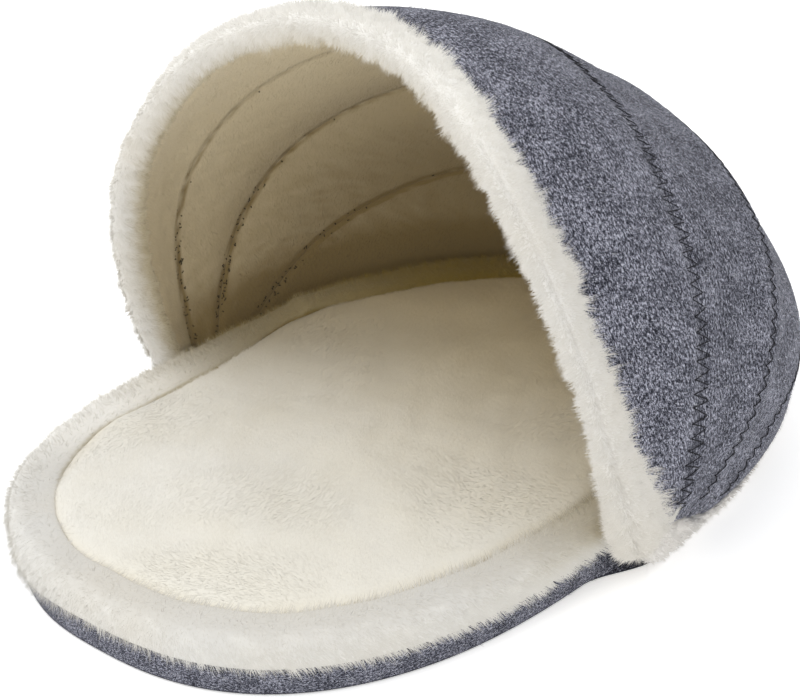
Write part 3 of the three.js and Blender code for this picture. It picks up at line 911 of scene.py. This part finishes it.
def gore_grid(gore, depth, dent, reach, tuck, gap=GAP, cut=0):
    """Grid over one gore at a depth, in from its seams by half a gap; dented so deep and so far beside them.
    It is cut short by a share at the front corners, and tucked in under the trim by a share of the tuck."""
    u = np.linspace(-1, 1, STEPS.arch + 1)
    width = gore_widths(gore, u)
    short = gap / 2 / width
    start = (trim_reach(u) - UNDER_TRIM) / width if gore == 0 else gore + short
    end = np.full_like(u, GORES) if gore == GORES - 1 else gore + 1 - short
    near = np.minimum(1 / width, 1 / SEAM_ROOM)[:, None] * SEAM_STEPS
    between = lerp(near[:, -1:], 1 - near[:, -1:], np.linspace(0, 1, STEPS.gore + 2)[1:-1])
    share = np.concatenate([near, between, 1 - near[:, ::-1]], axis=1)
    w = lerp(start[:, None], end[:, None], share)
    before = w - gore if gore > 0 else w + NO_SEAM
    after = gore + 1 - w if gore < GORES - 1 else w + NO_SEAM
    seam = np.minimum(before, after) * width[:, None]
    sunk = depth + dent * np.exp(-((seam / reach) ** 4))
    if gore == 0:
        near_mouth = np.exp(-((w * width[:, None] / MOUTH_TUCK.reach) ** 2))
        sunk = sunk + tuck * MOUTH_TUCK.depth * near_mouth * (1 - u[:, None] ** MOUTH_TUCK.power)
    short_u = u[:, None] * (1 - cut * (1 - smooth(w, FELT_CUT.full, FELT_CUT.none)))
    points = sheet_points(short_u.ravel(), w.ravel(), gore, sunk.ravel())
    return points.reshape(*w.shape, 3), seam


def sheet_body(face, back):
    """Closed sheet between two grids, with its running lengths as cloth coordinates."""
    middle = lerp(face[:, [-1, 0]], back[:, [-1, 0]], 0.5)
    rings = np.concatenate([face, middle[:, :1], back[:, ::-1], middle[:, 1:]], axis=1)
    rows, columns = rings.shape[:2]
    count = face.shape[1]
    points = rings.reshape(-1, 3)
    ends = []
    for row in (0, (rows - 1) * columns):
        j = np.arange(count - 1)
        back_j = 2 * count - j
        ends.append(np.stack([row + j, row + j + 1, row + back_j - 1, row + back_j], -1))
    close = []
    for row in (0, (rows - 1) * columns):
        close.append([row + columns - 1, row, row + 2 * count])
        close.append([row + count, row + count + 1, row + count - 1])
    ends[0] = ends[0][:, ::-1]
    close = np.array(close)
    close[:2] = close[:2, ::-1]
    faces = outward_faces(points, [grid_faces(rows, columns, True), *ends, close])
    along = running_length(rings, 0)
    along = along - along[rows // 2]
    across = running_length(rings, 1)
    cloth = np.stack([along, across, np.zeros_like(along)], axis=-1).reshape(-1, 3)
    return points, faces, cloth


def flat_size(grid):
    """Width, length and area of a gore as cut, in metres."""
    across = running_length(grid, 1).max()
    along = running_length(grid, 0).max()
    return (round(across * MM, 3), round(along * MM, 3)), round(cell_areas(grid).sum() * MM * MM, 4)


def felt_gore(gore):
    face, _ = gore_grid(gore, 0, DENT.depth, DENT.reach, 1, cut=FELT_CUT.share)
    back, _ = gore_grid(gore, FELT, 0, 1, MOUTH_TUCK.felt_back, cut=FELT_CUT.share)
    points, faces, cloth = sheet_body(face, back)
    cloth[:, 1] += GORE_CLOTH * gore
    name = f"hood_gore_{gore + 1}"
    # Painted shade: some gores are painted a little darker
    edge = np.full(len(points), GORE_PAINTED_SHADE[gore])
    sheet = new_object(name, points, faces, felt, cloth=cloth, edge=edge)
    dress(sheet, "grey_felt", f"hood_felt_{gore + 1}")
    normals = grid_normals(face, outward(face))
    nap = unit(np.gradient(face, axis=1))
    fibres = grow_pile(f"hood_fibres_{gore + 1}", face, normals, nap, "felt", seed=40 + gore)
    dress(fibres, "grey_felt")
    size, area = flat_size(face)


def lining_tone(gore, back, seam, along):
    """Share of the deep tone over a lining gore: painted shade farther in, lower down, in the grooves and by
    the floor, less of it beside the mouth as painted light, and a random brushed tone.
    """
    y, z = back[..., 1], back[..., 2]
    low = smooth(np.abs(along), *LINING_LINE.low)
    rough = 1 + LINING_LINE.rough * soft_noise(back, LINING_LINE.size, seed=57)
    line = GROOVE.shade * lerp(LINING_LINE.crown, 1, low) * rough
    line = line * np.exp(-((seam / GROOVE.reach) ** 4))
    into = LINING_CABIN.inward * (y - LINING_CABIN.start) / LINING_SPAN.inward
    into = into + LINING_CABIN.downward * (1 - z / LINING_SPAN.downward)
    floor_shade = LINING_FLOOR.share * (1 - smooth(z, *LINING_FLOOR.height))
    floor_shade = floor_shade * smooth(y, *LINING_FLOOR.range)
    brushed = LINING_BRUSH.share * soft_noise(back, LINING_BRUSH.size, seed=58) * low
    cabin = LINING_CABIN.share * (smooth(into, *LINING_CABIN.range) + line) + floor_shade + brushed
    if gore == 0:
        beside_mouth = 1 - smooth(running_length(back, 1), 0, LINING_LIGHT.reach)
        cabin = cabin - LINING_LIGHT.share * beside_mouth * smooth(-along, *LINING_LIGHT.left)
    return np.clip(cabin, 0, 1)


def lining_gore(gore):
    outer = FELT + GAP
    inner = SANDWICH - SKIN_DEPTH.lining
    face, _ = gore_grid(gore, outer, 0, 1, MOUTH_TUCK.felt_back)
    back, seam = gore_grid(gore, inner, -GROOVE.depth, GROOVE.reach, MOUTH_TUCK.lining, gap=0)
    points, faces, _ = sheet_body(face, back)
    along = np.linspace(-1, 1, len(back))[:, None]
    cabin = lining_tone(gore, back, seam, along)
    none = np.zeros_like(cabin)
    # Painted shade on the inner face only; the outer face, against the felt, takes the pale tone in place of
    # the lining's tan tones
    deep = np.concatenate([none, cabin[:, -1:], cabin[:, ::-1], cabin[:, :1]], axis=1).ravel()
    pale = np.concatenate([none + 1, none[:, :1], none, none[:, :1]], axis=1).ravel()
    name = f"lining_gore_{gore + 1}"
    sheet = new_object(name, points, faces, backing_materials["lining"], deep=deep, pale=pale)
    dress(sheet, "lining_plush", f"hood_lining_{gore + 1}")
    normals = grid_normals(back, -outward(back))
    down = np.gradient(back, axis=0) * np.sign(along)[..., None]
    nap = unit(down + LINING_NAP * np.gradient(back, axis=1))
    keep = lerp(GROOVE.keep, 1, smooth(seam, *GROOVE.bare))
    name = f"lining_pile_{gore + 1}"
    pile = grow_pile(name, back, normals, nap, "lining", seed=50 + gore, keep=keep, deep=cabin)
    dress(pile, "lining_plush")
    size, area = flat_size(back)


# The zigzag seams

def stitch_bars(name, start, end, lift, radius, material):
    """Thread from each start to its end, arched a little off the cloth."""
    side = unit(np.cross(end - start, lift)) * radius
    high = lift * radius
    rings = []
    for share, rise in STITCH_ARCH:
        centre = lerp(start, end, share) + lift * ZIGZAG.lift * rise
        rings.append(np.stack([centre - side, centre + high, centre + side, centre - high], axis=1))
    points = np.stack(rings, axis=1).reshape(-1, 3)
    offset = 16 * np.arange(len(start))[:, None]
    tube = (grid_faces(4, 4, True)[None] + offset[:, :, None]).reshape(-1, 4)
    faces = [tube, offset + [3, 2, 1, 0], offset + [12, 13, 14, 15]]
    return new_object(name, points, outward_faces(points, faces), material)


def seam_line(seam, end, samples):
    """Places along a seam from foot to foot, and the running length at each."""
    u = np.linspace(-end, end, samples)
    return u, running_length(hood_points(u, np.full_like(u, seam)), 0)


def seam_points(seam, u, swing, depth):
    """Points beside a seam, on the side that the sign of swing tells, at a depth under the felt's face."""
    points = np.zeros((len(u), 3))
    for gore, chosen in ((seam - 1, swing < 0), (seam, swing >= 0)):
        w = seam + swing[chosen] / gore_widths(gore, u[chosen])
        points[chosen] = sheet_points(u[chosen], w, gore, np.full(len(w), depth))
    return points


def zigzag_piece(seam):
    """Zigzag thread on the felt, whose stitches are a little uneven."""
    fine, length = seam_line(seam, ZIGZAG_LINE.end, ZIGZAG_LINE.samples)
    count = int(length[-1] / ZIGZAG.step)
    rng = np.random.default_rng(80 + seam)
    uneven = rng.uniform(-ZIGZAG_LINE.uneven, ZIGZAG_LINE.uneven, count)
    u = np.interp((np.arange(count) + uneven) * ZIGZAG.step, length, fine)
    side = np.where(np.arange(count) % 2 == 0, 1, -1)
    swing = side * rng.uniform(*ZIGZAG_LINE.swing, count) * ZIGZAG.half_widths[seam - 1]
    swing = swing * lerp(ZIGZAG_CROWN.gain, 1, smooth(np.abs(u), *ZIGZAG_CROWN.range))
    holes = seam_points(seam, u, swing, ZIGZAG_LINE.depth * DENT.depth)
    holes = holes - outward(holes) * rng.uniform(0, ZIGZAG.sunk, (count, 1))
    lift = outward(holes[:-1])
    bars = stitch_bars(f"hood_seam_{seam}", holes[:-1], holes[1:], lift, ZIGZAG.radius, thread)
    dress(bars, "dark_thread")


def fleck_piece(seam):
    """Bits of dark thread along both edges of the lining's pressed groove, most of them near the feet."""
    rng = np.random.default_rng(90 + seam)
    _, length = seam_line(seam, 1, FLECKS_SHOWN.samples)
    count = int(length[-1] / FLECKS.step)
    u = FLECKS_SHOWN.end * rng.uniform(-1, 1, count)
    share = lerp(FLECKS_SHOWN.least, 1, smooth(np.abs(u), *FLECKS_SHOWN.range))
    u = u[rng.random(count) < FLECKS.shares[seam - 1] * share]
    swing = rng.choice([-1, 1], len(u)) * FLECKS.half_width + rng.normal(0, FLECKS.spread, len(u))
    depth = SANDWICH - SKIN_DEPTH.lining - FLECK_THREAD.depth * GROOVE.depth
    start = seam_points(seam, u, swing, depth)
    lift = -outward(start)
    loose = rng.normal(size=start.shape)
    way = unit(loose - lift * (loose * lift).sum(-1, keepdims=True))
    end = start + way * FLECK_THREAD.length * rng.uniform(*FLECK_THREAD.uneven, (len(u), 1))
    bars = stitch_bars(f"lining_flecks_{seam}", start, end, lift, FLECK_THREAD.radius, brown_thread)
    dress(bars, "dark_thread")


def stray_tuft():
    """A tuft of pale fibres that has worked its way out beside the first seam."""
    rng = np.random.default_rng(95)
    count = STRAY_STRANDS.count
    spread = STRAY_STRANDS.spread
    ends = (STRAY_TUFT.root, STRAY_TUFT.tip)
    root, tip = (end + spread * rng.normal(size=(count, 3)) for end in ends)
    length = np.linalg.norm(tip - root, axis=1) * rng.uniform(*STRAY_STRANDS.length, count)
    tone = rng.random(count)
    way, width, material = unit(tip - root), STRAY_STRANDS.width, pile_materials["rim"]
    tuft = strand_object("stray_tuft", root, way, length, width, outward(root), 1, material, tone=tone)
    dress(tuft, "cream_fur")


# The fur roll round the mouth and the binding under the hem

def tube_rings(centre, up, half_up, front, back, power, cap, back_inside=None, flare=0):
    """Sections of a tube along a line, with its reach to the front and the back, rounded off at both ends.
    The reach to the back can be another one on the inner side, up to a share flare of the half thickness."""
    tangent = unit(np.gradient(centre, axis=0))
    up = unit(up - tangent * (up * tangent).sum(-1, keepdims=True))
    side = np.cross(tangent, up)
    turns = np.linspace(0, 2 * np.pi, STEPS.section + 1)
    shape_up = signed_power(np.cos(turns), 2 / power)
    shape_side = signed_power(np.sin(turns), 2 / power)
    inside = back if back_inside is None else back_inside
    flare = np.broadcast_to(flare, inside.shape)[:, None]
    back = lerp(inside[:, None], back[:, None], smooth(shape_up, flare, flare + TUBE.flare_span))
    reach = np.where(shape_side > 0, front[:, None], back)
    around = up[:, None] * (half_up[:, None] * shape_up)[..., None]
    around = around + side[:, None] * (reach * shape_side)[..., None]
    shrink = np.sin(np.linspace(TUBE.cap_start, np.pi / 2, TUBE.cap_steps)[:-1])[:, None, None]
    rise = cap * np.sqrt(1 - shrink**2)
    first = centre[0] + around[0] * shrink - tangent[0] * rise
    last = centre[-1] + around[-1] * shrink[::-1] + tangent[-1] * rise[::-1]
    middle = np.concatenate([centre[:1].repeat(len(first), 0), centre, centre[-1:].repeat(len(last), 0)])
    return np.concatenate([first, centre[:, None] + around, last]), middle[:, None], turns


def trim_rings():
    """Sections of the fur roll round the mouth, and how far each turn round them is from the parting."""
    u = np.linspace(-1, TRIM_FOOT.end, STEPS.trim + 1)
    zero = np.zeros_like(u)
    centre = sheet_points(u, zero, 0, zero + SANDWICH / 2)
    inset = SKIN_DEPTH.trim
    foot = smooth(np.abs(u), TRIM_FOOT.start, TRIM_FOOT.end) * np.where(u < 0, TRIM_FOOT.left, 1)
    slim = band(u, *TRIM_SLIM.span)
    reach = trim_reach(u) - inset
    front = reach + TRIM_FOOT.front * foot - TRIM_SLIM.front * slim
    back = reach - TRIM_SLIM.back * slim
    inside = back - TRIM_BACK.inside
    back = back + TRIM_FOOT.back * foot**3
    thick = trim_thickness(u) - inset + TRIM_FOOT.bulge * foot**2
    flare = TRIM_BACK.flare + TRIM_BACK.foot_flare * foot
    power = TRIM_BACK.power
    tube = tube_rings(centre, outward(centre), thick, front, back, power, TRIM.end, inside, flare)
    rings, middle, turns = tube
    away = (turns - TRIM_RIDGE.turn + np.pi) % (2 * np.pi) - np.pi
    along = np.linspace(-1, 1, len(rings))[:, None]
    ridge = TRIM_RIDGE.dent * smooth(along, *TRIM_RIDGE.rise)
    height, size = SWELL.trim
    swell = height * soft_noise(rings, size, seed=61) - ridge * np.exp(-((away / TRIM_RIDGE.width) ** 2))
    rings = rings + unit(rings - middle) * swell[..., None]
    return rings, middle, turns, along, away


def trim_piece():
    rings, middle, turns, along, away = trim_rings()
    points, faces = lofted(rings[:, :-1])
    out = np.cos(turns)
    left = smooth(-along, *TRIM_LEFT)
    crown = np.exp(-((along / TRIM_OPEN.crown) ** 2))
    tucked = 1 - smooth(np.abs(along), *TRIM_BEHIND.crown)
    # Painted shade of the cabin on the trim's inner side
    cabin = smooth(turns, lerp(*TRIM_CABIN.start, crown), lerp(*TRIM_CABIN.full, left))
    cabin = cabin * (1 - smooth(turns, lerp(*TRIM_CABIN.fade, tucked), lerp(*TRIM_CABIN.end, tucked)))
    # Painted light in the pale tone on the open outer side of the left arm and the crown
    open_side = smooth(out, *TRIM_OPEN.rise) * (1 - smooth(along, *TRIM_OPEN.fall))
    tones = {"deep": cabin, "pale": open_side * lerp(1, TRIM_OPEN.crown_pale, crown)}
    own = {key: with_ends(share[:, :-1]) for key, share in tones.items()}
    roll = new_object("mouth_roll", points, faces, backing_materials["trim"], **own)
    dress(roll, "cream_fur", "mouth_trim")
    normals = grid_normals(rings, rings - middle)
    parted = np.tanh(away / TRIM_RIDGE.parting)[None, :, None] * unit(np.gradient(rings, axis=1))
    down = unit(np.gradient(rings, axis=0)) * np.sign(along)[..., None]
    behind = tucked * band(turns, *TRIM_BEHIND.span)
    parted = lerp(parted, TRIM_BEHIND.lean * outward(rings), behind[..., None])
    nap = (parted + TRIM_NAP.down * down) * (1 - TRIM_OPEN.upright * open_side)[..., None]
    fringe = smooth(-np.sin(turns), *TRIM_NAP.fringe_back) * smooth(out, *TRIM_NAP.fringe_outer)
    inner = band(turns, *TRIM_INNER.span)
    longest = lerp(*TRIM_KEEP.fringe, smooth(along, *TRIM_KEEP.right))
    keep = lerp(TRIM_KEEP.plain, longest, fringe) * lerp(1, TRIM_INNER.keep, inner)
    keep = keep * (1 + TRIM_KEEP.tufts * soft_noise(rings, TRIM_KEEP.size, seed=64))
    short = smooth(-along, *TRIM_OUTER.left)
    outer = smooth(out, lerp(*TRIM_OUTER.start, short), lerp(*TRIM_OUTER.full, short))
    keep = keep * lerp(1, lerp(*TRIM_OUTER.keep, short), outer)
    fall = (lerp(*TRIM_BARE.fade, tucked), lerp(*TRIM_BARE.end, tucked))
    weight = (1 - band(turns, TRIM_BARE.rise, fall))[:-1, :-1]
    fur = grow_pile("mouth_fur", rings, normals, nap, "trim", seed=62, weight=weight, keep=keep, **tones)
    dress(fur, "cream_fur")


def binding_piece():
    s = np.linspace(-1, 1, STEPS.trim + 1)
    start = oval_angle(BINDING.start, HEM.grow)
    angle = lerp(start, np.pi / 2, 1 - np.abs(s))
    y = oval_points(angle, HEM.grow, 0)[:, 1]
    near_front = np.clip(1 - y / HEM.splay_length, 0, 1)
    grow = HEM.grow + HEM.splay * near_front**2 - SANDWICH / 2
    inset = SKIN_DEPTH.binding
    rise = BINDING_FRONT.rise * (1 - smooth(y, *BINDING_FRONT.rise_fall))
    out = BINDING_OUT.reach * band(y, *BINDING_OUT.span)
    low = BINDING.low + inset / 2 + rise
    lifted = (1 - smooth(y, *BINDING_FRONT.lift_fall)) * (s > 0)
    high = BINDING.high + BINDING_FRONT.lift * lifted - hem_drop(y)
    centre = oval_points(angle, grow + out, (low + high) / 2)
    centre[:, 0] *= np.sign(s)
    half_side = np.full_like(s, BINDING.half_width - inset)
    inner_side = half_side - BINDING_FRONT.slim * lifted
    up = np.tile([0.0, 0, 1], (len(s), 1))
    half_up = (high - low) / 2
    tube = tube_rings(centre, up, half_up, inner_side, half_side, BINDING.power, BINDING.end)
    rings, middle, turns = tube
    points, faces = lofted(rings[:, :-1])
    roll = new_object("hem_roll", points, faces, backing_materials["binding"])
    dress(roll, "cream_fur", "hem_binding")
    normals = grid_normals(rings, rings - middle)
    nap = unit((rings - middle) * [1, 1, 0]) - [0, 0, BINDING_PILE.droop]
    bare = np.interp(np.linspace(-1, 1, len(rings)), s, lifted)[:-1, None]
    bare = bare * smooth(np.sin(turns[:-1]), *BINDING_PILE.inner)
    weight = smooth(normals[:-1, :-1, 2], *BINDING_PILE.under) * (1 - bare)
    dress(grow_pile("hem_fur", rings, normals, nap, "binding", seed=63, weight=weight), "cream_fur")


# Floor, light and camera

def aim(item, target):
    item.rotation_mode = "QUATERNION"
    item.rotation_quaternion = (Vector(target) - item.location).to_track_quat("-Z", "Y")


def studio():
    half = FLOOR_SIZE / 2
    mesh = bpy.data.meshes.new("floor")
    corners = [(-half, -half, 0), (half, -half, 0), (half, half, 0), (-half, half, 0)]
    mesh.from_pydata(corners, [], [(0, 1, 2, 3)])
    mesh.materials.append(floor_material())
    floor = add_object("floor", mesh)
    for name, place, target, size, power in LIGHTS:
        lamp = bpy.data.lights.new(name, "AREA")
        lamp.size = size
        lamp.energy = power
        made = add_object(name, lamp)
        made.location = place
        aim(made, target)
    world = bpy.data.worlds.new("studio")
    world.use_nodes = True
    world.node_tree.nodes["Background"].inputs["Color"].default_value = (1, 1, 1, 1)
    world.node_tree.nodes["Background"].inputs["Strength"].default_value = WORLD_STRENGTH
    bpy.context.scene.world = world
    bpy.context.scene.view_settings.view_transform = "Standard"


def photo_camera():
    lens = bpy.data.cameras.new("photo_camera")
    lens.sensor_width = SENSOR
    lens.lens = FOCAL_PX / IMAGE_WIDTH * SENSOR
    azimuth = math.radians(CAMERA.azimuth)
    elevation = math.radians(CAMERA.elevation)
    back = Vector((math.sin(azimuth), -math.cos(azimuth), math.tan(elevation))).normalized()
    target = Vector((np.array(CAMERA.target) + SHIFT) * MM)
    camera = add_object("photo_camera", lens)
    camera.location = target + back * CAMERA.distance * MM
    aim(camera, target)
    bpy.context.scene.camera = camera


photo_camera()
studio()
sole_piece()
rim_piece()
cushion_piece()
trim_piece()
binding_piece()
for number in range(GORES):
    felt_gore(number)
    lining_gore(number)
for number in range(1, GORES):
    zigzag_piece(number)
    fleck_piece(number)
stray_tuft()
